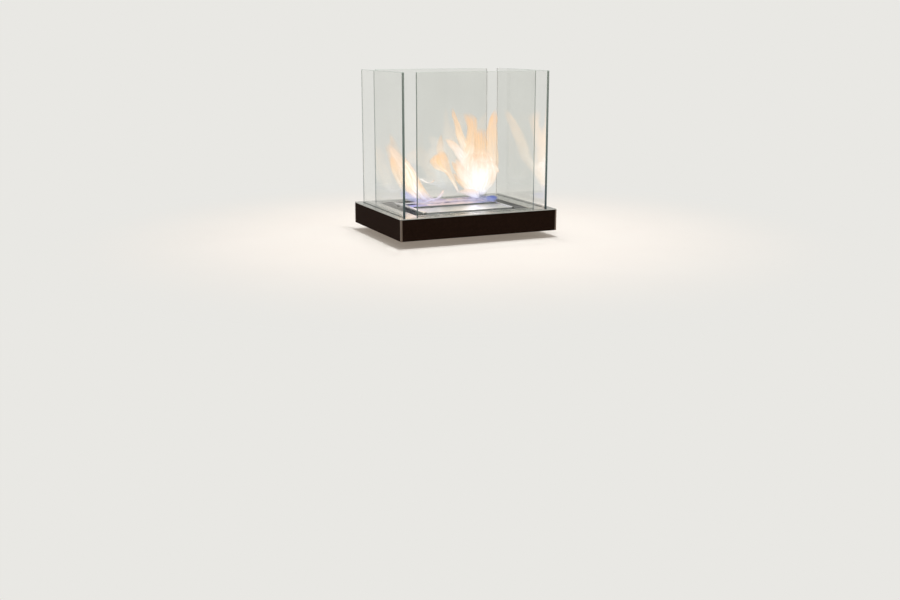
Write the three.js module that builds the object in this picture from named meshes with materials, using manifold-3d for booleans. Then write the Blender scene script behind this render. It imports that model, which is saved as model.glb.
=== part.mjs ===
// Tabletop bioethanol fireplace: a low floating tray with black side plates and a stainless deck,
// four loose glass panes standing in the deck, and a lift-out burner with a sliding snuffer plate.
// Millimetres, +Z up, the front faces -Y. The origin is the centre of the footprint, on the surface
// that the feet stand on.

import * as THREE from 'three';
import { mergeVertices } from 'three/addons/utils/BufferGeometryUtils.js';
import Module from 'manifold-3d';

const wasm = await Module();
wasm.setup();

// ---------------------------------------------------------------- sizes that can be set

// whole body
const bodyLength = 350;
const bodyDepth = 270;
const bodyHeight = 45;          // lower edge of the side plates to the top of the deck
const floatHeight = 15;         // standing surface to the lower edge of the side plates
const seatGap = 0.3;            // left between two pieces that rest on or against each other
const roundSteps = 5;           // facets in a quarter of a rounded corner

// deck plate
const deckThickness = 2;
const deckCornerRadius = 1.5;
const deckEdgeBevel = 0.4;

// black side plates
const fasciaThickness = 2;
const fasciaEdgeBevel = 0.4;
const fasciaStudRadius = 1.5;
const fasciaStudLength = 7;
const fasciaStudEndInset = 45;  // outermost stud to the plate's end
const studHoleClearance = 0.4;

// corner posts
const postFaceWidth = 3.5;      // width of steel that shows on each side of a corner
const postInset = 11;           // outer corner to the inner faces
const postCornerRadius = 1;
const postBoreDepth = 16;

// chassis pan
const panSheet = 1.5;
const panRise = 3;              // lower edge of the side plates to the pan's underside
const panFlange = 5;
const panBendRadius = 2;        // to the middle of the sheet, as every bend radius here
const cornerNotchGap = 0.4;

// glass
const paneThickness = 5;
const paneAboveDeck = 282;
const paneBelowDeck = 14;
const frontPaneEndInset = 44;   // body's side to the end of a front or rear pane
const sidePaneEndInset = 19.5;
const frontPaneInset = 21.7;    // body's side to the middle of the pane
const sidePaneInset = 15.6;
const paneCornerRadius = 1.5;
const paneArris = 0.5;          // ground bevel along the edges

// pane seats
const paneClearance = 0.3;      // pane to gasket, each side
const gasketWall = 0.8;
const gasketFloor = 1.5;
const gasketBelowDeckTop = 0.4;
const gasketFit = 0.2;          // gasket to channel and to the deck's slot
const channelSheet = 1.2;
const channelFlange = 5;
const channelBendRadius = 1;
const slotEndClearance = 0.5;

// well in the deck that the burner stands in
const deckSideBand = 46.5;      // body's left or right side to the recess
const deckEndBand = 34.5;       // body's front or rear side to the recess
const recessCornerRadius = 3;
const wellSheet = 1;
const wellFlange = 6;
const wellFloorAbovePan = 5.5;

// burner
const burnerSideGap = 26;       // recess to the burner, left and right
const burnerEndGap = 20.5;      // recess to the burner, front and rear
const burnerRise = 1.7;         // top of the slide guides above the deck
const burnerSheet = 1.2;
const burnerBendRadius = 1.8;
const burnerSkirt = 8;
const guideLip = 6;             // how far a guide reaches in over the slider
const flameOpeningSideMargin = 14.5;
const flameOpeningRearMargin = 20;
const flameOpeningRadius = 4;

// snuffer slider
const sliderThickness = 1.2;
const slideClearance = 0.3;     // above and below the slider
const sliderSideClearance = 0.5;
const sliderOverlapFront = 4;   // beyond the flame opening when closed
const sliderOverlapRear = 2;
const sliderFrontMargin = 2;    // open slider to the burner's front edge
const sliderLipHeight = 3;
const sliderLipBendRadius = 1.1;
const lipToGuideClearance = 0.7;
const hookHoleRadius = 3.5;
const hookHoleFromRear = 8;
const hookHoleFromCentre = 58;
const slideStopLength = 1.4;

// fuel tank and wick
const tankSideInset = 9.5;      // burner's left or right side to the tank
const tankEndInset = 10;
const tankSheet = 1;
const tankCornerRadius = 8;
const wickClearance = 0.6;      // pad and screen to the tank's walls
const wickBelowOpening = 6;     // underside of the burner's plate to the top of the screen
const screenSheet = 1;
const screenHoleRadius = 3;
const screenHolePitch = 10;
const screenHoleMargin = 4;     // edge of the flame opening to the first holes' centres

// corner stops that locate the tank
const stopSheet = 1.2;
const stopHeight = 12;
const stopLeg = 26;

// feet and fasteners
const footSideInset = 67;       // body's left or right side to the middle of a foot
const footEndInset = 90;
const footBottomRadius = 12;
const footTopRadius = 10;
const footEdgeRadius = 1.5;
const footHeadRecessRadius = 5;
const footHeadRecessDepth = 8;
const screwRadius = 2;
const screwHoleClearance = 0.3;
const screwHeadRadius = 3.8;
const screwHeadHeight = 2.6;
const screwSocketRadius = 1.3;
const screwSocketDepth = 1.4;
const footNutAcrossFlats = 7;
const footNutHeight = 3.2;
const footScrewPastNut = 0.8;
const postScrewLength = 12;
const studNutAcrossFlats = 5.5;
const studNutHeight = 2.4;
const nutBoreClearance = 0.3;

// ---------------------------------------------------------------- heights and planes worked out

const plateFoot = floatHeight;
const panUnder = plateFoot + panRise;
const panFloorTop = panUnder + panSheet;
const deckTop = plateFoot + bodyHeight;
const deckUnder = deckTop - deckThickness;
const frameTop = deckUnder - seatGap;

const halfLength = bodyLength / 2;
const halfDepth = bodyDepth / 2;
const panHalfLength = halfLength - fasciaThickness - seatGap;
const panHalfDepth = halfDepth - fasciaThickness - seatGap;
const footFromCentreX = halfLength - footSideInset;
const footFromCentreY = halfDepth - footEndInset;

const frontPaneLength = bodyLength - 2 * frontPaneEndInset;
const sidePaneLength = bodyDepth - 2 * sidePaneEndInset;
const recessLength = bodyLength - 2 * deckSideBand;
const recessWidth = bodyDepth - 2 * deckEndBand;
const burnerLength = recessLength - 2 * burnerSideGap;
const burnerWidth = recessWidth - 2 * burnerEndGap;
const tankLength = burnerLength - 2 * tankSideInset;
const tankWidth = burnerWidth - 2 * tankEndInset;

const paneBottom = deckTop - paneBelowDeck;
const gasketHalf = paneThickness / 2 + paneClearance + gasketWall;
const channelInnerHalf = gasketHalf + gasketFit;
const gasketUnder = paneBottom - seatGap - gasketFloor;
const channelFloorTop = gasketUnder - gasketFit;

const wellFloorUnder = panFloorTop + wellFloorAbovePan;
const wellFloorTop = wellFloorUnder + wellSheet;

const guideTop = deckTop + burnerRise;
const guideLipUnder = guideTop - burnerSheet;
const plateTop = guideLipUnder - sliderThickness - 2 * slideClearance;
const plateUnder = plateTop - burnerSheet;
const guideHalf = burnerLength / 2;
const guideMouthHalf = guideHalf - guideLip;

// the open slider takes up the front half of the plate, and the opening that it can cover the rear half
const sliderFront = sliderFrontMargin - burnerWidth / 2;
const openingRear = burnerWidth / 2 - flameOpeningRearMargin;
const sliderMargins = 2 * sliderOverlapFront + sliderOverlapRear;
const flameOpeningLength = burnerLength - 2 * flameOpeningSideMargin;
const flameOpeningWidth = (openingRear - sliderFront - sliderMargins) / 2;
const openingFront = openingRear - flameOpeningWidth;
const sliderRear = openingFront - sliderOverlapFront;
const sliderWidth = sliderRear - sliderFront;
const sliderClosedRear = openingRear + sliderOverlapRear;
const sliderHalfLength = guideHalf - burnerSheet - sliderSideClearance;

const tankUnder = wellFloorTop + seatGap;
const tankRim = plateUnder - seatGap;
const screenTop = plateUnder - wickBelowOpening;
const screenUnder = screenTop - screenSheet;

const halfTurn = Math.PI;
const quarterTurn = Math.PI / 2;

// ---------------------------------------------------------------- materials

function finish(color, roughness, metalness, extra = {}) {
  return new THREE.MeshStandardMaterial({ color, roughness, metalness, flatShading: true, ...extra });
}

const brushedStainless = () => finish(0xb9b6b0, 0.36, 1);
const burnerStainless = () => finish(0xc4c2bd, 0.28, 1);
const blackPowderCoat = () => finish(0x1a120e, 0.5, 0.1);
const panPowderCoat = () => finish(0x17130f, 0.6, 0.1);
const zincSteel = () => finish(0x9a9c9b, 0.4, 1);
const footRubber = () => finish(0x151515, 0.85, 0);
const gasketSilicone = () => finish(0x2b3233, 0.6, 0);
const ceramicWool = () => finish(0xe4e1d8, 0.95, 0);
const clearGlass = () => finish(0xd6e2df, 0.05, 0, { transparent: true, opacity: 0.3 });

// ---------------------------------------------------------------- joining and cutting

// A closed geometry as a solid that can be joined and cut.
function solid(geometry) {
  const bare = geometry.clone();
  bare.deleteAttribute('normal');
  bare.deleteAttribute('uv');
  const welded = mergeVertices(bare, 1e-5);
  return new wasm.Manifold(new wasm.Mesh({
    numProp: 3,
    vertProperties: new Float32Array(welded.attributes.position.array),
    triVerts: new Uint32Array(welded.index.array),
  }));
}

function geometryOf(body) {
  const mesh = body.getMesh();
  const geometry = new THREE.BufferGeometry();
  geometry.setAttribute('position', new THREE.BufferAttribute(new Float32Array(mesh.vertProperties), 3));
  geometry.setIndex(new THREE.BufferAttribute(new Uint32Array(mesh.triVerts), 1));
  geometry.computeVertexNormals();
  return geometry;
}

function join(...geometries) {
  return geometryOf(geometries.map(solid).reduce((sum, next) => sum.add(next)));
}

function cut(base, ...tools) {
  return geometryOf(tools.map(solid).reduce((rest, tool) => rest.subtract(tool), solid(base)));
}

// A piece made for the rear right corner, mirrored to the corner with these signs of x and y.
function mirrored(geometry, x, y) {
  const copy = geometryOf(solid(geometry)).scale(x, y, 1);
  if (x * y < 0) {
    const index = copy.index.array;
    for (let first = 0; first < index.length; first += 3) {
      [index[first], index[first + 1]] = [index[first + 1], index[first]];
    }
  }
  copy.computeVertexNormals();
  return copy;
}

// ---------------------------------------------------------------- outlines

// Rectangle about the origin with rounded corners.
function roundedRectangle(length, width, radius) {
  const x = length / 2;
  const y = width / 2;
  const shape = new THREE.Shape();
  shape.moveTo(-x + radius, -y);
  shape.lineTo(x - radius, -y);
  shape.absarc(x - radius, -y + radius, radius, -quarterTurn, 0);
  shape.lineTo(x, y - radius);
  shape.absarc(x - radius, y - radius, radius, 0, quarterTurn);
  shape.lineTo(-x + radius, y);
  shape.absarc(-x + radius, y - radius, radius, quarterTurn, halfTurn);
  shape.lineTo(-x, -y + radius);
  shape.absarc(-x + radius, -y + radius, radius, halfTurn, halfTurn + quarterTurn);
  return shape;
}

function polygon(points) {
  return new THREE.Shape(points.map(([x, y]) => new THREE.Vector2(x, y)));
}

// Outline of a folded sheet. The points are the corners of its middle line, and each inner corner
// becomes a bend of the given radius.
function foldedSheet(points, thickness, bendRadius) {
  const corners = points.map(([x, y]) => new THREE.Vector2(x, y));
  const way = corners.slice(1).map((corner, i) => corner.clone().sub(corners[i]).normalize());
  const sideOf = (direction) => new THREE.Vector2(-direction.y, direction.x);
  const stations = [[corners[0], sideOf(way[0])]];
  for (let i = 1; i < corners.length - 1; i += 1) {
    const turn = Math.atan2(way[i - 1].cross(way[i]), way[i - 1].dot(way[i]));
    const setback = bendRadius * Math.tan(Math.abs(turn) / 2);
    const start = corners[i].clone().addScaledVector(way[i - 1], -setback);
    const inward = sideOf(way[i - 1]).multiplyScalar(Math.sign(turn));
    const centre = start.clone().addScaledVector(inward, bendRadius);
    for (let step = 0; step <= roundSteps; step += 1) {
      const angle = turn * step / roundSteps;
      const point = start.clone().rotateAround(centre, angle);
      stations.push([point, sideOf(way[i - 1].clone().rotateAround(new THREE.Vector2(), angle))]);
    }
  }
  stations.push([corners.at(-1), sideOf(way.at(-1))]);
  const left = stations.map(([point, side]) => point.clone().addScaledVector(side, thickness / 2));
  const right = stations.map(([point, side]) => point.clone().addScaledVector(side, -thickness / 2));
  return new THREE.Shape([...right, ...left.reverse()]);
}

// ---------------------------------------------------------------- extrusions

const alongX = new THREE.Matrix4().makeBasis(
  new THREE.Vector3(0, 1, 0), new THREE.Vector3(0, 0, 1), new THREE.Vector3(1, 0, 0));
const alongY = new THREE.Matrix4().makeBasis(
  new THREE.Vector3(1, 0, 0), new THREE.Vector3(0, 0, 1), new THREE.Vector3(0, -1, 0));

// Upright extrusion of a plan outline between two heights.
function upright(shape, bottom, top) {
  const options = { depth: top - bottom, bevelEnabled: false, curveSegments: roundSteps };
  return new THREE.ExtrudeGeometry(shape, options).translate(0, 0, bottom);
}

// Plate of the given thickness with a bevel round both faces and the outline kept at its full size.
function beveledPlate(shape, thickness, bevel) {
  return new THREE.ExtrudeGeometry(shape, {
    depth: thickness - 2 * bevel,
    bevelThickness: bevel,
    bevelSize: bevel,
    bevelOffset: -bevel,
    bevelSegments: 1,
    curveSegments: roundSteps,
  }).translate(0, 0, bevel);
}

// Extrusion of a (y, z) outline along X, or of an (x, z) outline along Y, centred on the origin.
function profileAlong(matrix, shape, length) {
  const options = { depth: length, bevelEnabled: false, curveSegments: roundSteps };
  return new THREE.ExtrudeGeometry(shape, options).translate(0, 0, -length / 2).applyMatrix4(matrix);
}

function box(length, width, bottom, top, x = 0, y = 0) {
  return new THREE.BoxGeometry(length, width, top - bottom).translate(x, y, (bottom + top) / 2);
}

function rod(radius, bottom, top, x = 0, y = 0, sides = 12) {
  const height = top - bottom;
  return new THREE.CylinderGeometry(radius, radius, height, sides)
    .rotateX(quarterTurn).translate(x, y, (bottom + top) / 2);
}

function hexNut(acrossFlats, height, boreRadius) {
  const outline = new THREE.Shape();
  const cornerRadius = acrossFlats / 2 / Math.cos(Math.PI / 6);
  for (let corner = 0; corner < 6; corner += 1) {
    const angle = corner * Math.PI / 3;
    const x = cornerRadius * Math.cos(angle);
    const y = cornerRadius * Math.sin(angle);
    corner === 0 ? outline.moveTo(x, y) : outline.lineTo(x, y);
  }
  outline.holes.push(new THREE.Path().absarc(0, 0, boreRadius, 0, 2 * Math.PI, true));
  return upright(outline, 0, height);
}

// Pan-head screw standing on its head's seat: the shank runs up from z = 0, the head hangs below.
function panHeadScrew(length) {
  const domed = screwHeadRadius * 0.75;
  const profile = [
    [0, -screwHeadHeight + screwSocketDepth],
    [screwSocketRadius, -screwHeadHeight + screwSocketDepth],
    [screwSocketRadius, -screwHeadHeight],
    [domed, -screwHeadHeight],
    [screwHeadRadius, -screwHeadHeight / 2],
    [screwHeadRadius, 0],
    [screwRadius, 0],
    [screwRadius, length],
    [0, length],
  ].map(([x, y]) => new THREE.Vector2(x, y));
  return new THREE.LatheGeometry(profile, 12).rotateX(quarterTurn);
}

// ---------------------------------------------------------------- the group and its meshes

const fireplace = new THREE.Group();
const glassHouse = new THREE.Group();
const burner = new THREE.Group();
fireplace.add(glassHouse, burner);

function piece(group, name, geometry, material, position = [0, 0, 0], turn = 0) {
  const mesh = new THREE.Mesh(geometry, material);
  mesh.name = name;
  mesh.position.set(...position);
  mesh.rotation.z = turn;
  group.add(mesh);
  return mesh;
}

// the four sides, as turns about Z: a piece made for the rear side is turned onto the others
const sides = [
  { side: 'rear', turn: 0, x: 0, y: 1 },
  { side: 'left', turn: quarterTurn, x: -1, y: 0 },
  { side: 'front', turn: halfTurn, x: 0, y: -1 },
  { side: 'right', turn: -quarterTurn, x: 1, y: 0 },
];

const corners = [
  { corner: 'front_left', x: -1, y: -1 },
  { corner: 'front_right', x: 1, y: -1 },
  { corner: 'rear_right', x: 1, y: 1 },
  { corner: 'rear_left', x: -1, y: 1 },
];

const isLong = ({ x }) => x === 0;

// ---------------------------------------------------------------- chassis pan

// one stud near each end of a side plate
function studPlaces(place) {
  const end = fasciaLength(place) / 2 - fasciaStudEndInset;
  return [-end, end];
}

function fasciaLength(place) {
  return 2 * ((isLong(place) ? halfLength : halfDepth) - postFaceWidth - seatGap);
}

const studHeight = (plateFoot + frameTop) / 2;

function wallPath(half) {
  const wall = half - panSheet / 2;
  const floor = panUnder + panSheet / 2;
  const flange = frameTop - panSheet / 2;
  const lip = half - panSheet - panFlange;
  return [[-lip, flange], [-wall, flange], [-wall, floor], [wall, floor], [wall, flange], [lip, flange]];
}

function chassisPan() {
  const crossLength = 2 * (halfLength - postInset - cornerNotchGap);
  const crossDepth = 2 * (halfDepth - postInset - cornerNotchGap);
  const frontRear = profileAlong(alongX, foldedSheet(wallPath(panHalfDepth), panSheet, panBendRadius), crossLength);
  const leftRight = profileAlong(alongY, foldedSheet(wallPath(panHalfLength), panSheet, panBendRadius), crossDepth);
  const cornerSquare = panHalfLength - crossLength / 2 + panFlange;
  const cornerPads = corners.map(({ x, y }) => box(
    cornerSquare, cornerSquare, panUnder, panFloorTop,
    x * (noseInnerX - cornerNotchGap - cornerSquare / 2),
    y * (noseInnerY - cornerNotchGap - cornerSquare / 2)));
  const holes = [];
  for (const { x, y } of corners) {
    const hole = screwRadius + screwHoleClearance;
    holes.push(rod(hole, panUnder - 1, panFloorTop + 1, x * footFromCentreX, y * footFromCentreY));
    holes.push(rod(hole, panUnder - 1, panFloorTop + 1, x * postBoreX, y * postBoreY));
  }
  for (const place of sides) {
    const distance = isLong(place) ? panHalfDepth : panHalfLength;
    for (const along of studPlaces(place)) {
      holes.push(rod(fasciaStudRadius + studHoleClearance, -panSheet * 2, panSheet * 2)
        .rotateX(quarterTurn).translate(along, distance, studHeight).rotateZ(place.turn));
    }
  }
  return cut(join(frontRear, leftRight, ...cornerPads), ...holes);
}

// ---------------------------------------------------------------- corner posts

const noseInnerX = halfLength - postFaceWidth;
const noseInnerY = halfDepth - postFaceWidth;
const postBoreX = (halfLength - postInset + panHalfLength) / 2;
const postBoreY = (halfDepth - postInset + panHalfDepth) / 2;

// Post for the rear right corner: a square bar behind the side plates, with a nose that comes out
// between their ends. The nose reaches down past the pan's floor, the bar stands on the floor.
function cornerPost() {
  const innerX = halfLength - postInset;
  const innerY = halfDepth - postInset;
  const bar = polygon([[innerX, innerY], [panHalfLength, innerY], [panHalfLength, panHalfDepth],
    [innerX, panHalfDepth]]);
  const nose = new THREE.Shape();
  nose.moveTo(noseInnerX, noseInnerY);
  nose.lineTo(halfLength, noseInnerY);
  nose.absarc(halfLength - postCornerRadius, halfDepth - postCornerRadius, postCornerRadius, 0, quarterTurn);
  nose.lineTo(noseInnerX, halfDepth);
  const post = join(upright(bar, panFloorTop + seatGap, frameTop), upright(nose, plateFoot, frameTop));
  const bore = rod(screwRadius + screwHoleClearance, plateFoot, panFloorTop + postBoreDepth, postBoreX, postBoreY);
  return cut(post, bore);
}

// ---------------------------------------------------------------- black side plates

// Plate for the rear side with the studs that hold it, standing behind its inner face.
function fascia(place) {
  const length = fasciaLength(place);
  const height = frameTop - plateFoot;
  const distance = isLong(place) ? halfDepth : halfLength;
  const outline = polygon([[-length / 2, 0], [length / 2, 0], [length / 2, height], [-length / 2, height]]);
  const plate = beveledPlate(outline, fasciaThickness, fasciaEdgeBevel)
    .rotateX(quarterTurn).translate(0, distance, plateFoot);
  const sunk = fasciaThickness / 2;
  const studs = studPlaces(place).map((along) => rod(fasciaStudRadius, -fasciaStudLength, sunk)
    .rotateX(-quarterTurn).translate(along, distance - fasciaThickness, studHeight));
  return join(plate, ...studs);
}

// Nut on a stud, tightened from inside against the rear wall of the pan.
function studNut(place, along) {
  const wallInner = (isLong(place) ? panHalfDepth : panHalfLength) - panSheet - seatGap;
  return hexNut(studNutAcrossFlats, studNutHeight, fasciaStudRadius + nutBoreClearance)
    .rotateX(quarterTurn).translate(along, wallInner, studHeight);
}

// ---------------------------------------------------------------- deck plate

function deckPlate() {
  const outline = roundedRectangle(bodyLength, bodyDepth, deckCornerRadius);
  outline.holes.push(roundedRectangle(recessLength, recessWidth, recessCornerRadius));
  const plate = beveledPlate(outline, deckThickness, deckEdgeBevel).translate(0, 0, deckUnder);
  const slots = sides.map((place) => box(
    paneLength(place) + 2 * slotEndClearance, 2 * channelInnerHalf, deckUnder - 1, deckTop + 1,
    0, paneDistance(place)).rotateZ(place.turn));
  return cut(plate, ...slots);
}

// ---------------------------------------------------------------- glass panes and their seats

function paneLength(place) {
  return isLong(place) ? frontPaneLength : sidePaneLength;
}

function paneDistance(place) {
  return isLong(place) ? halfDepth - frontPaneInset : halfLength - sidePaneInset;
}

function pane(place) {
  const height = paneAboveDeck + paneBelowDeck;
  const outline = roundedRectangle(paneLength(place), height, paneCornerRadius);
  return beveledPlate(outline, paneThickness, paneArris)
    .translate(0, 0, -paneThickness / 2).rotateX(quarterTurn).translate(0, 0, height / 2);
}

// U-shaped liner about the pane's plane, with its floor under the pane.
function gasket(place) {
  const inner = gasketHalf - gasketWall;
  const floor = -seatGap;
  const top = paneBelowDeck - gasketBelowDeckTop;
  const outline = polygon([
    [-gasketHalf, floor - gasketFloor], [gasketHalf, floor - gasketFloor], [gasketHalf, top],
    [inner, top], [inner, floor], [-inner, floor], [-inner, top], [-gasketHalf, top]]);
  return profileAlong(alongX, outline, paneLength(place));
}

// Folded steel channel under the deck. Its flange is welded to the deck, on the outer side of a long
// channel and on the inner side of a short one, where there is room for it.
function channel(place) {
  const wall = channelInnerHalf + channelSheet / 2;
  const floor = channelFloorTop - channelSheet / 2;
  const top = frameTop;
  const flangeSide = isLong(place) ? 1 : -1;
  const path = [
    [-flangeSide * wall, top],
    [-flangeSide * wall, floor],
    [flangeSide * wall, floor],
    [flangeSide * wall, top - channelSheet / 2],
    [flangeSide * (wall + channelFlange), top - channelSheet / 2],
  ];
  const length = paneLength(place) + 2 * slotEndClearance;
  return profileAlong(alongX, foldedSheet(path, channelSheet, channelBendRadius), length);
}

// ---------------------------------------------------------------- burner well

function burnerWell() {
  const outer = recessLength + 2 * wellSheet;
  const outerWidth = recessWidth + 2 * wellSheet;
  const outerRadius = recessCornerRadius + wellSheet;
  const shell = upright(roundedRectangle(outer, outerWidth, outerRadius), wellFloorUnder, frameTop);
  const flangeOutline = roundedRectangle(
    outer + 2 * wellFlange, outerWidth + 2 * wellFlange, outerRadius + wellFlange);
  const flange = upright(flangeOutline, frameTop - wellSheet, frameTop);
  const hollow = upright(
    roundedRectangle(recessLength, recessWidth, recessCornerRadius), wellFloorTop, frameTop + 1);
  return cut(join(shell, flange), hollow);
}

// Angle round one corner of the tank, welded to the well's floor.
function tankStop() {
  const middle = seatGap + stopSheet / 2;
  const x = tankLength / 2 + middle;
  const y = tankWidth / 2 + middle;
  const path = [[x, y - stopLeg], [x, y], [x - stopLeg, y]];
  const outline = foldedSheet(path, stopSheet, tankCornerRadius + middle);
  return upright(outline, wellFloorTop + seatGap, wellFloorTop + seatGap + stopHeight);
}

// ---------------------------------------------------------------- fuel tank and wick

function fuelTank() {
  const shell = upright(roundedRectangle(tankLength, tankWidth, tankCornerRadius), tankUnder, tankRim);
  const hollow = upright(roundedRectangle(
    tankLength - 2 * tankSheet, tankWidth - 2 * tankSheet, tankCornerRadius - tankSheet),
  tankUnder + tankSheet, tankRim + 1);
  return cut(shell, hollow);
}

function wickOutline() {
  const margin = 2 * (tankSheet + wickClearance);
  return roundedRectangle(tankLength - margin, tankWidth - margin, tankCornerRadius - tankSheet);
}

function wickPad() {
  return upright(wickOutline(), tankUnder + tankSheet + seatGap, screenUnder - seatGap);
}

// Perforated plate that holds the pad down, with its holes staggered below the flame opening.
function wickScreen() {
  const outline = wickOutline();
  const halfRun = flameOpeningLength / 2 - screenHoleMargin;
  const rowPitch = screenHolePitch * Math.sin(Math.PI / 3);
  const rows = Math.floor((flameOpeningWidth - 2 * screenHoleMargin) / rowPitch);
  const middle = (openingFront + openingRear) / 2;
  for (let row = 0; row <= rows; row += 1) {
    const y = middle + (row - rows / 2) * rowPitch;
    const shift = row % 2 ? screenHolePitch / 2 : 0;
    const holes = Math.floor((2 * halfRun - shift) / screenHolePitch);
    for (let hole = 0; hole <= holes; hole += 1) {
      const x = -halfRun + shift + hole * screenHolePitch;
      outline.holes.push(new THREE.Path().absarc(x, y, screenHoleRadius, 0, 2 * Math.PI, true));
    }
  }
  const options = { depth: screenSheet, bevelEnabled: false, curveSegments: 3 };
  return geometryOf(solid(new THREE.ExtrudeGeometry(outline, options).translate(0, 0, screenUnder)));
}

// ---------------------------------------------------------------- burner top

// One folded sheet: its long sides stand up and turn in to guide the slider, its front and rear
// edges turn down as a skirt over the tank.
function burnerTop() {
  const plateMiddle = plateTop - burnerSheet / 2;
  const lipMiddle = guideLipUnder + burnerSheet / 2;
  const wall = guideHalf - burnerSheet / 2;
  const guideBend = (lipMiddle - plateMiddle) / 2;
  const guidePath = [[-guideMouthHalf, lipMiddle], [-wall, lipMiddle], [-wall, plateMiddle],
    [wall, plateMiddle], [wall, lipMiddle], [guideMouthHalf, lipMiddle]];
  const guided = profileAlong(alongY, foldedSheet(guidePath, burnerSheet, guideBend), burnerWidth);
  const skirt = burnerWidth / 2 - burnerSheet / 2;
  const skirtPath = [[-skirt, plateMiddle - burnerSkirt], [-skirt, plateMiddle],
    [skirt, plateMiddle], [skirt, plateMiddle - burnerSkirt]];
  const skirted = profileAlong(
    alongX, foldedSheet(skirtPath, burnerSheet, burnerBendRadius), 2 * guideMouthHalf);
  const trim = [-1, 1].map((end) => box(
    2 * guideMouthHalf, 2 * burnerBendRadius, plateUnder - 1, plateTop + slideClearance,
    0, end * (burnerWidth / 2)));
  const opening = upright(
    roundedRectangle(flameOpeningLength, flameOpeningWidth, flameOpeningRadius), plateUnder - 1, plateTop + 1)
    .translate(0, (openingFront + openingRear) / 2, 0);
  const stops = [];
  for (const side of [-1, 1]) {
    for (const y of [sliderFront - seatGap - slideStopLength / 2, sliderClosedRear + seatGap + slideStopLength / 2]) {
      const width = guideLip - burnerSheet;
      stops.push(box(width, slideStopLength, plateTop - burnerSheet / 2, guideLipUnder + burnerSheet / 2,
        side * (guideMouthHalf + width / 2), y));
    }
  }
  const plate = join(cut(guided, ...trim), skirted, ...stops);
  return cut(plate, opening);
}

// ---------------------------------------------------------------- snuffer slider

// Flat plate in the guides, with a lip turned up along its rear edge and a hole for a hook.
function snufferSlider() {
  const under = plateTop + slideClearance;
  const middle = under + sliderThickness / 2;
  const flat = box(2 * sliderHalfLength, sliderWidth - sliderLipBendRadius - sliderThickness,
    under, under + sliderThickness, 0, sliderFront + (sliderWidth - sliderLipBendRadius - sliderThickness) / 2);
  const rear = sliderRear - sliderThickness / 2;
  const path = [[sliderFront, middle], [rear, middle], [rear, under + sliderThickness + sliderLipHeight]];
  const lipped = profileAlong(alongX, foldedSheet(path, sliderThickness, sliderLipBendRadius),
    2 * (guideMouthHalf - lipToGuideClearance));
  const hook = rod(hookHoleRadius, under - 1, under + sliderThickness + 1,
    -hookHoleFromCentre, sliderRear - hookHoleFromRear, 20);
  return cut(join(flat, lipped), hook);
}

// ---------------------------------------------------------------- feet and screws

function rubberFoot() {
  const top = panUnder - seatGap;
  const hole = screwRadius + screwHoleClearance;
  const profile = [
    [hole, footHeadRecessDepth],
    [footHeadRecessRadius, footHeadRecessDepth],
    [footHeadRecessRadius, 0],
    [footBottomRadius - footEdgeRadius, 0],
    [footBottomRadius, footEdgeRadius],
    [footTopRadius, top - footEdgeRadius],
    [footTopRadius - footEdgeRadius, top],
    [hole, top],
    [hole, footHeadRecessDepth],
  ].map(([x, y]) => new THREE.Vector2(x, y));
  return new THREE.LatheGeometry(profile, 24).rotateX(quarterTurn);
}

const footScrewSeat = footHeadRecessDepth - seatGap;
const footNutSeat = panFloorTop + seatGap;
const footScrewLength = footNutSeat + footNutHeight + footScrewPastNut - footScrewSeat;

// ---------------------------------------------------------------- assembly

piece(fireplace, 'chassis_pan', chassisPan(), panPowderCoat());
piece(fireplace, 'deck_plate', deckPlate(), brushedStainless());
piece(fireplace, 'burner_well', burnerWell(), burnerStainless());

for (const { corner, x, y } of corners) {
  piece(fireplace, `corner_post_${corner}`, mirrored(cornerPost(), x, y), brushedStainless());
}

for (const place of sides) {
  piece(fireplace, `fascia_${place.side}`, fascia(place), blackPowderCoat(), [0, 0, 0], place.turn);
  studPlaces(place).forEach((along, i) => {
    piece(fireplace, `fascia_nut_${place.side}_${i + 1}`, studNut(place, along), zincSteel(), [0, 0, 0], place.turn);
  });
}

for (const place of sides) {
  const distance = paneDistance(place);
  const at = (height) => [place.x * distance, place.y * distance, height];
  piece(glassHouse, `glass_channel_${place.side}`, channel(place), burnerStainless(), at(0), place.turn);
  piece(glassHouse, `pane_gasket_${place.side}`, gasket(place), gasketSilicone(), at(paneBottom), place.turn);
  piece(glassHouse, `glass_pane_${place.side}`, pane(place), clearGlass(), at(paneBottom), place.turn);
}

for (const { corner, x, y } of corners) {
  piece(fireplace, `tank_stop_${corner}`, mirrored(tankStop(), x, y), burnerStainless());
}

piece(burner, 'fuel_tank', fuelTank(), burnerStainless());
piece(burner, 'wick_pad', wickPad(), ceramicWool());
piece(burner, 'wick_screen', wickScreen(), burnerStainless());
piece(burner, 'burner_top', burnerTop(), burnerStainless());
piece(burner, 'snuffer_slider', snufferSlider(), burnerStainless());

for (const { corner, x, y } of corners) {
  const at = (height) => [x * footFromCentreX, y * footFromCentreY, height];
  const nut = hexNut(footNutAcrossFlats, footNutHeight, screwRadius + nutBoreClearance);
  piece(fireplace, `rubber_foot_${corner}`, rubberFoot(), footRubber(), at(0));
  piece(fireplace, `foot_screw_${corner}`, panHeadScrew(footScrewLength), zincSteel(), at(footScrewSeat));
  piece(fireplace, `foot_nut_${corner}`, nut, zincSteel(), at(footNutSeat));
  piece(fireplace, `post_screw_${corner}`, panHeadScrew(postScrewLength), zincSteel(),
    [x * postBoreX, y * postBoreY, panUnder - seatGap]);
}

export default fireplace;
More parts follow.
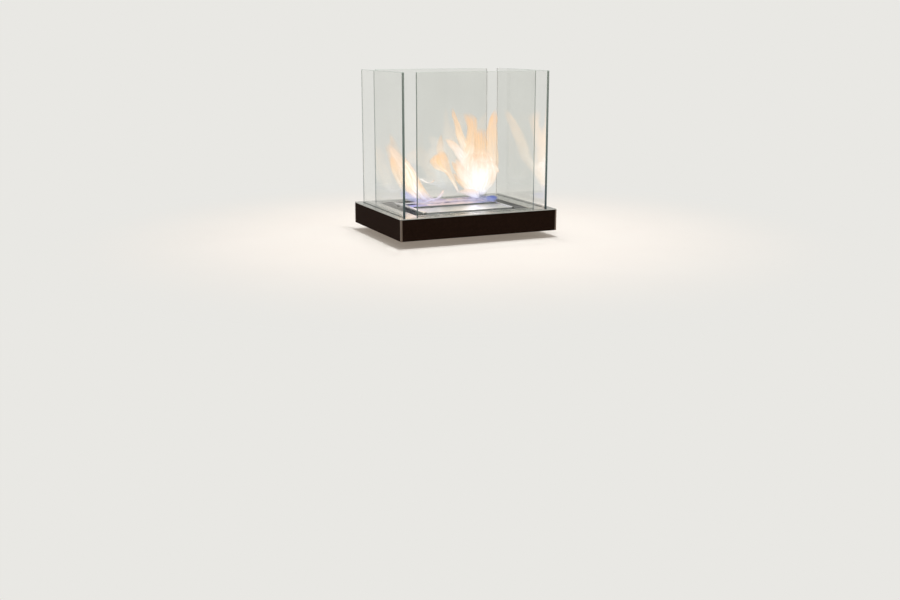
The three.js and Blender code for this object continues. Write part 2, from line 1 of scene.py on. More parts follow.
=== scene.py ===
# %% [markdown]
# # A tabletop bioethanol fireplace
# The object is a low black tray that floats a finger's width above the table. Its deck is brushed
# stainless steel, four loose panes of toughened glass stand in it as wind guards, and a burner
# lies in a well in the middle. The solids come from the CAD model, so this script gives them their
# finishes, makes the flame, works out how each tongue would fold into the tank as the snuffer
# plate closes, and sets up a plain studio.

# %% Load the frame
import bpy
import math
import numpy as np
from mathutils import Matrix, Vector


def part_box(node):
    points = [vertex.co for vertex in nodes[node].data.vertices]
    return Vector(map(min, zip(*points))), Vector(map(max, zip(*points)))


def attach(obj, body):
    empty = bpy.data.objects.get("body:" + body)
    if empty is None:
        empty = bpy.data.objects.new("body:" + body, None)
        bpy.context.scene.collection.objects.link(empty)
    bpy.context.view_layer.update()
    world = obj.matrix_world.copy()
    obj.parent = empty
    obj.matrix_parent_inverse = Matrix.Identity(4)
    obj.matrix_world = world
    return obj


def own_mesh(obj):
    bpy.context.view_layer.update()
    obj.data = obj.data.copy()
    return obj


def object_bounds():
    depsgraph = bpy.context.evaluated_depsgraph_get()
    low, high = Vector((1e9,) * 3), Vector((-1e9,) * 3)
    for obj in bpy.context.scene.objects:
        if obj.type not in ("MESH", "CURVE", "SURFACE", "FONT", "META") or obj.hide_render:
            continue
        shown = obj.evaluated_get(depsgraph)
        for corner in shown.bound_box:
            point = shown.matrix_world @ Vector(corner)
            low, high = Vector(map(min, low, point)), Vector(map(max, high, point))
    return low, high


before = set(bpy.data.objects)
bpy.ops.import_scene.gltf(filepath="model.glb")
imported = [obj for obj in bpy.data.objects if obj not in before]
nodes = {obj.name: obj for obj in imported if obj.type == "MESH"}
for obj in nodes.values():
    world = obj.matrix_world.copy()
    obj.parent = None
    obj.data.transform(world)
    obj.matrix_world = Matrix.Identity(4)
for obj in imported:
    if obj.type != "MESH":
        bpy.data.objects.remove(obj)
cad_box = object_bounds()

# %% [markdown]
# ## Two helpers for every node tree
# A colour is written as the sRGB hex value that a colour card would give, and Blender's shaders
# work in linear light, so one function turns it round. A second one adds a node, sets it, links it
# and, on a colour ramp, places its stops. That keeps each material short enough to read from top
# to bottom.

# %% Colour and node helpers
def linear(code):
    parts = [int(code[i:i + 2], 16) / 255 for i in (1, 3, 5)]
    light = [p / 12.92 if p <= 0.04045 else ((p + 0.055) / 1.055) ** 2.4 for p in parts]
    return (*light, 1.0)


def add(tree, kind, inputs=None, stops=(), **settings):
    made = tree.nodes.new(kind)
    for name, value in settings.items():
        setattr(made, name, value)
    for name, value in (inputs or {}).items():
        if isinstance(value, bpy.types.NodeSocket):
            tree.links.new(value, made.inputs[name])
        else:
            made.inputs[name].default_value = value
    for i, (place, tone) in enumerate(stops):
        stop = made.color_ramp.elements[i] if i < 2 else made.color_ramp.elements.new(place)
        stop.position = place
        stop.color = linear(tone)
    return made


print("middle grey in linear light", round(linear("#808080")[0], 3))

# %% [markdown]
# ## Dressing the CAD pieces
# Each solid of the CAD model is one object, and pieces of a kind share the start of their names.
# So a finish is made once, and then goes into the material slot of every piece that wears it.

# %% Finish helpers
def start_material(name):
    material = bpy.data.materials.new(name)
    material.use_nodes = True
    material.node_tree.nodes.clear()
    return material, material.node_tree


def wear(material, names):
    for name in names:
        slots = nodes[name].data.materials
        if len(slots):
            slots[0] = material
        else:
            slots.append(material)
    print(material.name, "on", len(names), "nodes")


def named(*starts):
    return sorted(name for name in nodes if name.startswith(starts))


print("panes", named("glass_pane"))

# %% [markdown]
# ## A surface with grain
# Every hard finish here ends in the same way: a noise varies the gloss between two limits, a noise
# lifts and lowers the surface by a real depth in metres, and both go into one shader. A narrow
# spread of the first noise makes the gloss change more sharply.

# %% Grained surface
def grained_surface(tree, colour, gloss_noise, gloss, lift_noise, strength, depth, more,
                    spread=(0.0, 1.0)):
    rough = add(tree, "ShaderNodeMapRange", {
        "Value": gloss_noise.outputs["Fac"], "From Min": spread[0], "From Max": spread[1],
        "To Min": gloss[0], "To Max": gloss[1]})
    bump = add(tree, "ShaderNodeBump", {
        "Height": lift_noise.outputs["Fac"], "Strength": strength, "Distance": depth})
    shader = add(tree, "ShaderNodeBsdfPrincipled", {
        "Base Color": colour, "Roughness": rough.outputs["Result"],
        "Normal": bump.outputs["Normal"], **more})
    add(tree, "ShaderNodeOutputMaterial", {"Surface": shader.outputs["BSDF"]})


print("pieces to dress", len(nodes))

# %% [markdown]
# ## How far a point lies outside a rectangle
# Two finishes change with the distance from an edge: the deck along its rim, and the burner round
# the flame opening. The distance is worked out from the object's own coordinates: it is negative
# inside the rectangle and positive outside.

# %% Distance from a rectangle
def outside_of(tree, place, middle, half):
    spot = add(tree, "ShaderNodeSeparateXYZ", {"Vector": place})
    beyond = []
    for axis, centre, reach in zip("XY", middle, half):
        off = add(tree, "ShaderNodeMath", {0: spot.outputs[axis], 1: centre}, operation="SUBTRACT")
        away = add(tree, "ShaderNodeMath", {0: off.outputs["Value"]}, operation="ABSOLUTE")
        beyond.append(add(tree, "ShaderNodeMath", {
            0: away.outputs["Value"], 1: reach}, operation="SUBTRACT").outputs["Value"])
    return add(tree, "ShaderNodeMath", {
        0: beyond[0], 1: beyond[1]}, operation="MAXIMUM").outputs["Value"]


tray_half = (cad_box[1][0], cad_box[1][1])
print("half the tray", [round(half, 4) for half in tray_half])

# %% [markdown]
# ## Painted shade along the rim
# The strip of the deck outside the panes gets a painted shade, a tone darker than the rest, for
# the dimmer light that its steel mirrors. It is the same steel, so a ramp over the distance from
# the rim darkens the colour. The painted shade fades out at the left and at the rear.

# %% Painted shade along the rim
def with_painted_rim_shade(tree, place, colour):
    band_room, left_start, left_end, rear_start, rear_end = 0.03, -0.145, -0.16, 0.09, 0.115
    far_in = add(tree, "ShaderNodeMapRange", {
        "Value": outside_of(tree, place, (0.0, 0.0), tray_half), "From Max": -band_room})
    # painted shade: this ramp darkens the deck's colour in a band inside the rim
    band = add(tree, "ShaderNodeValToRGB", {"Fac": far_in.outputs["Result"]}, stops=[
        (0.0, "#ffffff"), (1.0, "#ffffff"), (0.07, "#f4f4f2"), (0.1, "#adafad"), (0.4, "#b6b8b6"),
        (0.52, "#ffffff")])
    spot = add(tree, "ShaderNodeSeparateXYZ", {"Vector": place})
    at_left = add(tree, "ShaderNodeMapRange", {
        "Value": spot.outputs["X"], "From Min": left_start, "From Max": left_end,
        "To Min": 1.0, "To Max": 0.15})
    at_rear = add(tree, "ShaderNodeMapRange", {
        "Value": spot.outputs["Y"], "From Min": rear_start, "From Max": rear_end,
        "To Min": 1.0, "To Max": 0.1})
    strength = add(tree, "ShaderNodeMath", {
        0: at_left.outputs["Result"], 1: at_rear.outputs["Result"]}, operation="MULTIPLY")
    darker = add(tree, "ShaderNodeMix", {
        0: strength.outputs["Value"], "A": colour, "B": band.outputs["Color"]},
        data_type="RGBA", blend_type="MULTIPLY")
    return darker.outputs[2]


print("the band lies within 16 mm of the rim")

# %% [markdown]
# ## Brushed stainless steel
# The deck is a sheet of stainless steel that was drawn under a 240 grit belt along its length. The
# belt leaves fine parallel scratches. They could be modelled as lines, but they are only a tenth
# of a millimetre wide, so a noise pattern stretched along the sheet gives them, drawn 0.9 mm wide
# so that they show at this distance. A second noise, about 110 mm across, gives the slow change of
# tone that rolled sheet always has. The corner posts are bar, ground along their height.

# %% Brushed steel
def brushed_steel(name, tone, dark_tone, roughness, run, rim=False):
    line_mm, line_length_mm, slow_per_metre, scratch_depth = 0.9, 90, 9.0, 0.0002
    material, tree = start_material(name)
    place = add(tree, "ShaderNodeTexCoord").outputs["Object"]
    scale = [1000 / line_length_mm if axis == run else 1000 / line_mm for axis in "XYZ"]
    lines = add(tree, "ShaderNodeMapping", {"Vector": place, "Scale": scale})
    scratch = add(tree, "ShaderNodeTexNoise", {
        "Vector": lines.outputs["Vector"], "Scale": 1.0, "Detail": 3.0, "Roughness": 0.7})
    slow = add(tree, "ShaderNodeTexNoise", {
        "Vector": place, "Scale": slow_per_metre, "Detail": 2.0})
    both = add(tree, "ShaderNodeMath", {
        0: scratch.outputs["Fac"], 1: slow.outputs["Fac"]}, operation="MULTIPLY")
    colour = add(tree, "ShaderNodeValToRGB", {"Fac": both.outputs["Value"]}, stops=[
        (0.1, dark_tone), (0.4, tone)]).outputs["Color"]
    if rim:
        # painted shade: the deck's colour is darkened along the rim
        colour = with_painted_rim_shade(tree, place, colour)
    grained_surface(tree, colour, scratch, (roughness - 0.08, roughness + 0.1), scratch,
                    0.25, scratch_depth, {"Metallic": 1.0}, spread=(0.25, 0.75))
    return material


wear(brushed_steel("stainless_sheet_belt_ground_240", "#c3c3be", "#a2a39f", 0.24, "X", rim=True),
     ["deck_plate"])
# painted shade: the posts get a darker, browner tone than the deck's steel, for the darker
# surroundings the upright bars mirror
wear(brushed_steel("stainless_bar_belt_ground_painted_shade", "#84776d", "#63584f", 0.4, "Z"),
     named("corner_post"))

# %% [markdown]
# ## Steel tinted by the flame, with painted glow and painted shade
# Steel that has been hot takes on a thin oxide film, straw first, then violet and blue, and it
# follows the edge of the flame opening. The distance from the opening, made uneven by the smudges
# on the sheet, chooses the colour of the film, so the tint stays where the heat is. Next to the
# opening its violet-blue is also a painted glow of the blue flame on the steel. The faces that
# look to the front or the rear, into the narrow gaps round the burner, where little light comes
# back, get a painted shade of darker grey.

# %% Heat tint, painted glow and painted shade
opening_middle = Vector((0, 0.028, 0))
opening_half = (0.088, 0.032)


def painted_glow_shade_and_tint(tree, place, smudge, colour, tone, tint):
    uneven_by, film_start, film_end = 0.022, 0.008, 0.042
    uneven = add(tree, "ShaderNodeMath", {
        0: smudge, 1: uneven_by, 2: outside_of(tree, place, opening_middle, opening_half)},
        operation="MULTIPLY_ADD")
    heat = add(tree, "ShaderNodeMapRange", {
        "Value": uneven.outputs["Value"], "From Min": film_start, "From Max": film_end})
    # painted glow: the violet-blue stop next to the opening stands in for the blue flame's light on
    # the steel
    oxide_film_and_painted_glow = add(tree, "ShaderNodeValToRGB", {"Fac": heat.outputs["Result"]}, stops=[
        (0.0, "#b4b4ee"), (1.0, tone), (0.35, "#d3cbe8"), (0.7, "#ece4d8")])
    tinted = add(tree, "ShaderNodeMix", {
        0: tint, "A": colour, "B": oxide_film_and_painted_glow.outputs["Color"]}, data_type="RGBA")
    # painted shade: faces that look to the front or the rear are turned towards a darker grey
    facing = add(tree, "ShaderNodeSeparateXYZ", {
        "Vector": add(tree, "ShaderNodeNewGeometry").outputs["True Normal"]})
    upright = add(tree, "ShaderNodeMath", {0: facing.outputs["Y"]}, operation="ABSOLUTE")
    painted_gap_shade = add(tree, "ShaderNodeMix", {
        0: upright.outputs["Value"], "A": tinted.outputs[2], "B": linear("#727876")},
        data_type="RGBA")
    return painted_gap_shade.outputs[2]


print("flame opening", [2 * half for half in opening_half])

# %% [markdown]
# ## Bright sheet
# The well, the tank and the burner are folded from bright cold-rolled sheet. The rolls leave faint
# marks about a millimetre wide and 40 mm long, and handling leaves smudges some 60 mm across. The
# marks go into the bump, and the smudges into colour and gloss.

# %% Bright sheet
def bright_steel(name, tone, dark_tone, roughness, tint=0.0):
    marks_per_metre, smudge_mm, mark_depth = (25, 900, 900), 62.5, 0.0001
    material, tree = start_material(name)
    place = add(tree, "ShaderNodeTexCoord").outputs["Object"]
    stretched = add(tree, "ShaderNodeMapping", {"Vector": place, "Scale": marks_per_metre})
    rolled = add(tree, "ShaderNodeTexNoise", {
        "Vector": stretched.outputs["Vector"], "Scale": 1.0, "Detail": 2.0})
    smudge = add(tree, "ShaderNodeTexNoise", {
        "Vector": place, "Scale": 1000 / smudge_mm, "Detail": 2.0})
    colour = add(tree, "ShaderNodeValToRGB", {"Fac": smudge.outputs["Fac"]}, stops=[
        (0.3, dark_tone), (0.65, tone)]).outputs["Color"]
    if tint:
        colour = painted_glow_shade_and_tint(tree, place, smudge.outputs["Fac"], colour, tone, tint)
    grained_surface(tree, colour, smudge, (roughness - 0.03, roughness + 0.05), rolled,
                    0.04, mark_depth, {"Metallic": 1.0})
    return material


wear(bright_steel("stainless_sheet_cold_rolled", "#cfd2cf", "#b2b6b3", 0.42),
     named("burner_well", "glass_channel", "tank_stop"))
# painted glow and painted shade: this finish and the slider's carry the flame's painted glow and
# the painted shade of the gaps
wear(bright_steel("stainless_sheet_heat_tinted", "#dcdee0", "#d0d2d3", 0.26, tint=0.5),
     ["burner_top", "wick_screen", "fuel_tank"])
wear(bright_steel("stainless_sheet_polished_slider", "#dddee0", "#d6d8da", 0.3, tint=0.3),
     ["snuffer_slider"])

# %% [markdown]
# ## Black powder coat
# The side plates are steel, coated with a brown-black polyester powder that is baked on. It flows
# as it melts and sets with a slight orange peel about a millimetre across, so the gloss breaks up
# a little. A matt powder reflects less than the usual four per cent at its surface, which the
# specular level takes care of.

# %% Powder coat
def powder_coat(name, tone, light_tone, roughness, specular):
    peel_mm, grain_mm, peel_depth = 1.2, 3.5, 0.0003
    material, tree = start_material(name)
    place = add(tree, "ShaderNodeTexCoord").outputs["Object"]
    peel = add(tree, "ShaderNodeTexNoise", {
        "Vector": place, "Scale": 1000 / peel_mm, "Detail": 1.0})
    grain = add(tree, "ShaderNodeTexNoise", {
        "Vector": place, "Scale": 1000 / grain_mm, "Detail": 3.0})
    colour = add(tree, "ShaderNodeValToRGB", {"Fac": grain.outputs["Fac"]}, stops=[
        (0.35, tone), (0.75, light_tone)])
    grained_surface(tree, colour.outputs["Color"], grain, (roughness - 0.05, roughness + 0.08),
                    peel, 0.25, peel_depth, {"Specular IOR Level": specular})
    return material


wear(powder_coat("powder_coat_black_brown_satin", "#221610", "#291b14", 0.7, 0.02),
     ["fascia_" + side for side in ("front", "rear", "left", "right")])
wear(powder_coat("powder_coat_black_matt", "#15110e", "#1b1612", 0.62, 0.25), ["chassis_pan"])

# %% [markdown]
# ## Zinc, rubber, silicone and ceramic wool
# The small parts hide below the tray and inside it. Zinc-plated screws have a bluish bloom, the
# feet are moulded rubber with a dull fine grain, the liners of the glass are grey silicone, and
# the wick is a needled ceramic felt. Each has its own grain size.

# %% Small parts
def grained(name, tone, other_tone, grain_mm, roughness, bump_mm, metallic=0.0, stretch=(1, 1, 1)):
    material, tree = start_material(name)
    place = add(tree, "ShaderNodeTexCoord").outputs["Object"]
    laid = add(tree, "ShaderNodeMapping", {"Vector": place, "Scale": stretch})
    grain = add(tree, "ShaderNodeTexNoise", {
        "Vector": laid.outputs["Vector"], "Scale": 1000 / grain_mm, "Detail": 4.0,
        "Roughness": 0.65})
    colour = add(tree, "ShaderNodeValToRGB", {"Fac": grain.outputs["Fac"]}, stops=[
        (0.3, other_tone), (0.7, tone)])
    grained_surface(tree, colour.outputs["Color"], grain, (roughness - 0.08, roughness + 0.08),
                    grain, 0.4, bump_mm / 1000, {"Metallic": metallic})
    return material


wear(grained("steel_zinc_plated_blue", "#a9adb2", "#8d9094", 1.5, 0.38, 0.05, metallic=1.0),
     named("fascia_nut", "foot_screw", "foot_nut", "post_screw"))
wear(grained("rubber_moulded_black", "#1b1b1b", "#111111", 0.8, 0.82, 0.15), named("rubber_foot"))
wear(grained("silicone_extruded_grey", "#3a4244", "#2a3031", 1.4, 0.55, 0.1, stretch=(0.2, 1, 1)),
     named("pane_gasket"))
wear(grained("ceramic_wool_needled", "#e9e6dc", "#bdb8aa", 2.2, 0.95, 0.8), ["wick_pad"])

# %% [markdown]
# ## Toughened glass
# The panes are clear float glass. Its faces come off the float bath mirror smooth, with a slow
# ripple about 110 mm long. Iron in the glass takes a little light away, a bit less in the green.
# Real refraction gives the faces their reflections, and the lamps are let through, so that the
# deck isn't in shadow.

# %% Faces of the glass
def float_glass():
    ripples_per_metre = 9.0
    material, tree = start_material("glass_float_toughened")
    place = add(tree, "ShaderNodeTexCoord").outputs["Object"]
    ripple = add(tree, "ShaderNodeTexNoise", {
        "Vector": place, "Scale": ripples_per_metre, "Detail": 1.0})
    tone = add(tree, "ShaderNodeValToRGB", {"Fac": ripple.outputs["Fac"]}, stops=[
        (0.3, "#eff0ee"), (0.7, "#f3f4f2")])
    glass = add(tree, "ShaderNodeBsdfPrincipled", {
        "Base Color": tone.outputs["Color"], "Roughness": 0.0, "IOR": 1.52,
        "Transmission Weight": 1.0})
    through = add(tree, "ShaderNodeBsdfTransparent", {"Color": linear("#f8faf9")})
    ray = add(tree, "ShaderNodeLightPath")
    mixed = add(tree, "ShaderNodeMixShader", {
        0: ray.outputs["Is Shadow Ray"], 1: glass.outputs["BSDF"], 2: through.outputs["BSDF"]})
    add(tree, "ShaderNodeOutputMaterial", {"Surface": mixed.outputs["Shader"]})
    return material


pane_faces = float_glass()
print("faces", pane_faces.name)

# %% [markdown]
# ## Ground rims of the glass
# The rims of the panes are ground, so they scatter, and light that ran the whole length of a pane
# comes out there dark teal; a painted lightening makes them paler towards the top. At the far
# right corner a painted highlight makes them almost white. The grit of the wheel leaves a fine
# mottle. They are faces of the same pane, so they get a material slot of their own, by the
# direction in which each face looks.

# %% Rims of the glass
def ground_rim():
    grit_mm, mottle_share, glass_foot, glass_top = 1.5, 0.12, 0.06, 0.34
    corner_start, corner_end = 0.2, 0.25
    material, tree = start_material("glass_edge_ground")
    place = add(tree, "ShaderNodeTexCoord").outputs["Object"]
    spot = add(tree, "ShaderNodeSeparateXYZ", {"Vector": place})
    height = add(tree, "ShaderNodeMapRange", {
        "Value": spot.outputs["Z"], "From Min": glass_foot, "From Max": glass_top})
    grit = add(tree, "ShaderNodeTexNoise", {
        "Vector": place, "Scale": 1000 / grit_mm, "Detail": 2.0})
    mottled = add(tree, "ShaderNodeMath", {
        0: grit.outputs["Fac"], 1: mottle_share, 2: height.outputs["Result"]},
        operation="MULTIPLY_ADD")
    # painted light: the height lifts the teal towards a pale tone at the top
    teal = add(tree, "ShaderNodeValToRGB", {"Fac": mottled.outputs["Value"]}, stops=[
        (0.0, "#33505c"), (1.0, "#c3d2c6"), (0.45, "#7f9b94")])
    # painted highlight: the far right corner turns almost white
    corner = add(tree, "ShaderNodeMath", {
        0: spot.outputs["X"], 1: spot.outputs["Y"]}, operation="ADD")
    bright = add(tree, "ShaderNodeMapRange", {
        "Value": corner.outputs["Value"], "From Min": corner_start, "From Max": corner_end})
    tone = add(tree, "ShaderNodeMix", {
        0: bright.outputs["Result"], "A": teal.outputs["Color"], "B": linear("#f6f6f2")},
        data_type="RGBA")
    rough = add(tree, "ShaderNodeMapRange", {
        "Value": grit.outputs["Fac"], "To Min": 0.22, "To Max": 0.45})
    rim = add(tree, "ShaderNodeBsdfPrincipled", {
        "Base Color": tone.outputs[2], "Roughness": rough.outputs["Result"], "IOR": 1.52,
        "Transmission Weight": 0.35})
    add(tree, "ShaderNodeOutputMaterial", {"Surface": rim.outputs["BSDF"]})
    return material


pane_rims = ground_rim()
for name in named("glass_pane"):
    pane = nodes[name]
    wear(pane_faces, [name])
    pane.data.materials.append(pane_rims)
    low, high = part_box(name)
    thin = 0 if high.x - low.x < high.y - low.y else 1
    for face in pane.data.polygons:
        face.material_index = 0 if abs(face.normal[thin]) > 0.9 else 1

# %% [markdown]
# ## The left-hand tongues
# A bioethanol flame is a set of thin glowing sheets of gas, blue where it leaves the burner, white
# where the soot is hottest, pale orange at the tips. A simulation of smoke would give a volume
# that no other program shows the same way. So each tongue is drawn as a bent line, and a node tree
# sweeps a curved sheet along it. Each row is a point of the line in millimetres, x, y and z, and
# the full width of the tongue there. These tongues lean outwards over the left end of the opening.

# %% Left-hand tongues
tongues = {
    "left_core": ("pale", [
        (-42, 30, 63, 11), (-55, 33, 76, 19), (-69, 37, 93, 30), (-80, 43, 117, 39),
        (-91, 49, 142, 36), (-105, 55, 164, 25), (-115, 59, 181, 14), (-122, 62, 194, 3)]),
    "left_body": ("ember", [
        (-53, 36, 63, 14), (-72, 41, 80, 25), (-85, 48, 106, 30), (-94, 56, 133, 27),
        (-103, 64, 158, 19), (-114, 70, 179, 5)]),
    "left_second": ("wisp", [
        (-88, 40, 101, 11), (-100, 49, 124, 22), (-109, 60, 150, 22), (-117, 70, 175, 14),
        (-120, 76, 190, 3)]),
    "left_outer": ("ember", [
        (-96, 44, 92, 4), (-104, 48, 111, 8), (-110, 54, 132, 14), (-111, 58, 151, 15),
        (-113, 62, 167, 4)]),
    "left_faint": ("wisp", [
        (-78, 48, 116, 25), (-89, 61, 145, 30), (-99, 75, 176, 25), (-105, 90, 209, 5)]),
    "left_strand": ("tip", [
        (-28, 24, 63, 8), (-43, 28, 74, 17), (-61, 33, 91, 19), (-74, 41, 115, 19),
        (-82, 50, 142, 8)]),
    "left_curl": ("cream", [
        (-70, 22, 119, 8), (-59, 22, 112, 8), (-51, 22, 108, 8), (-42, 22, 108, 7),
        (-34, 22, 114, 3)]),
    "base_curl": ("cream", [
        (-60, 20, 67, 8), (-41, 21, 72, 11), (-27, 21, 75, 11), (-18, 23, 84, 8),
        (-14, 24, 93, 3)]),
}
print("left-hand tongues", len(tongues))

# %% [markdown]
# ## The lobe between the two fires
# Where a puff of vapour burns off on its own, the sheet rolls into a lobe on a thin stalk. Two
# tongues make the lobe and its stalk, and a faint wisp rises from it.

# %% Lobe
tongues.update({
    "lobe": ("tip", [
        (28, 34, 76, 4), (21, 39, 97, 9), (11, 43, 117, 14), (2, 46, 132, 23), (-4, 50, 149, 31),
        (-5, 54, 164, 23), (-6, 56, 174, 8)]),
    "lobe_left": ("tip", [
        (8, 36, 124, 8), (-6, 38, 129, 17), (-18, 41, 138, 25), (-24, 46, 152, 25),
        (-16, 52, 166, 11)]),
    "lobe_wisp": ("wisp", [
        (-5, 50, 134, 23), (-8, 54, 162, 25), (-7, 57, 185, 17), (-2, 60, 208, 3)]),
})
print("tongues so far", len(tongues))

# %% [markdown]
# ## The tall tongues
# The strongest vapour burns at the right and climbs highest. The draught between the open corners
# leans these tongues to the rear, so y grows with z.

# %% Tall tongues
tongues.update({
    "thin": ("tip", [
        (71, 60, 147, 17), (60, 67, 168, 22), (50, 75, 196, 20), (45, 84, 223, 14),
        (40, 90, 243, 9), (38, 96, 261, 3)]),
    "slant": ("cream", [
        (64, 34, 115, 26), (52, 44, 141, 32), (37, 54, 167, 29), (24, 61, 184, 26),
        (12, 66, 197, 9)]),
    "middle": ("tip", [
        (68, 42, 63, 12), (68, 47, 83, 23), (67, 52, 104, 49), (67, 58, 130, 46),
        (69, 67, 164, 38), (74, 74, 193, 29), (79, 80, 217, 26), (77, 85, 236, 32),
        (67, 88, 250, 14)]),
    "middle_core": ("cream", [
        (65, 26, 64, 9), (62, 30, 83, 17), (56, 33, 102, 40), (51, 37, 124, 43),
        (50, 42, 149, 37), (57, 46, 172, 26), (64, 50, 193, 9)]),
    "right_one": ("tip", [
        (81, 30, 71, 9), (82, 30, 88, 17), (82, 31, 110, 29), (81, 32, 145, 32),
        (80, 34, 177, 33), (79, 35, 201, 33), (78, 36, 221, 26)]),
    "right_tall": ("tip", [
        (90, 16, 87, 9), (95, 17, 104, 19), (105, 29, 124, 26), (117, 50, 150, 28),
        (121, 64, 179, 28), (127, 79, 206, 28), (136, 90, 232, 21), (146, 101, 256, 4)]),
})
print("tallest point in mm", max(row[2] for gas, rows in tongues.values() for row in rows))

# %% [markdown]
# ## The bright heart
# Below the tall tongues lies the hottest part, white and as wide as it is high. Many short sheets
# lie over each other there, so that their light adds up, and each has its own bend, so that the
# heart has a ragged border. One white streak lies inside the left-hand tongues in the same way.

# %% Bright heart
tongues.update({
    "right_wing": ("cream", [
        (74, 6, 109, 23), (88, 10, 134, 26), (79, 12, 149, 23), (73, 14, 166, 9)]),
    "right_hook": ("cream", [
        (69, 6, 126, 23), (87, 12, 140, 23), (100, 9, 133, 20), (109, 6, 122, 6)]),
    "big_core": ("cream", [
        (64, 4, 75, 14), (64, 5, 90, 43), (65, 6, 107, 75), (65, 7, 129, 86), (66, 8, 148, 69),
        (68, 9, 167, 40), (71, 10, 179, 9)]),
    "ball": ("cream", [
        (52, 4, 91, 20), (50, 5, 104, 51), (53, 6, 121, 68), (53, 8, 138, 65), (49, 9, 155, 43),
        (47, 10, 170, 9)]),
    "core_left": ("cream", [
        (60, 20, 67, 14), (49, 22, 87, 26), (38, 24, 107, 31), (29, 26, 126, 26),
        (22, 29, 146, 14), (18, 30, 158, 3)]),
    "left_strands": ("tip", [
        (48, 26, 93, 11), (39, 30, 108, 17), (29, 34, 123, 20), (21, 39, 138, 14),
        (14, 42, 150, 3)]),
    "low_strand": ("tip", [
        (59, 24, 73, 9), (46, 27, 87, 14), (31, 30, 102, 16), (21, 34, 115, 11), (13, 36, 126, 3)]),
    "fin": ("cream", [
        (57, 2, 71, 6), (49, 2, 76, 23), (41, 3, 82, 40), (35, 3, 88, 43), (32, 4, 93, 11)]),
    "heart": ("core", [
        (61, 4, 103, 11), (64, 5, 114, 40), (67, 6, 129, 72), (69, 6, 141, 74), (65, 7, 156, 46),
        (63, 8, 169, 11)]),
    "left_heart": ("pale", [
        (-54, 28, 68, 8), (-66, 35, 91, 19), (-80, 43, 119, 25), (-91, 50, 142, 16),
        (-102, 56, 161, 5)]),
})
print("tongues so far", len(tongues))

# %% [markdown]
# ## The blue foot
# Just above the wick the vapour mixes with air before it burns, so no soot glows, and the flame is
# blue. Low wide sheets give the foot of each fire its blue border, and three veils join them.

# %% Blue foot
tongues.update({
    "blue_right": ("deep", [
        (96, 18, 61, 15), (97, 19, 65, 29), (99, 21, 69, 29), (101, 22, 73, 9)]),
    "blue_mid": ("blue", [
        (40, 24, 59, 17), (55, 26, 64, 29), (69, 30, 74, 35), (78, 34, 86, 17)]),
    "blue_left": ("blue", [
        (-42, 20, 62, 22), (-64, 21, 67, 33), (-82, 23, 73, 38), (-94, 26, 81, 30),
        (-102, 30, 94, 11)]),
    "veil_left": ("vapour", [
        (-39, 38, 58, 56), (-38, 39, 62, 87), (-37, 41, 67, 84), (-39, 42, 71, 34)]),
    "veil_mid": ("vapour", [
        (31, 46, 56, 75), (34, 47, 60, 121), (39, 49, 63, 116), (45, 50, 67, 52)]),
    "veil_right": ("blue", [
        (81, 18, 58, 29), (83, 20, 62, 58), (86, 22, 66, 58), (89, 24, 72, 23)]),
})
print("tongues", len(tongues))

# %% [markdown]
# ## A curved sheet along a line
# The node tree smooths the line, samples it from foot to tip, and lays a grid along it that bends
# round an arc of 150 degrees. The half width is stored on the points of the line, so the sheet
# widens and narrows with it, and its bulge is a share of that width. A noise with curls about 30
# mm across makes it waver. The grid keeps its UV map, because the glow follows it.

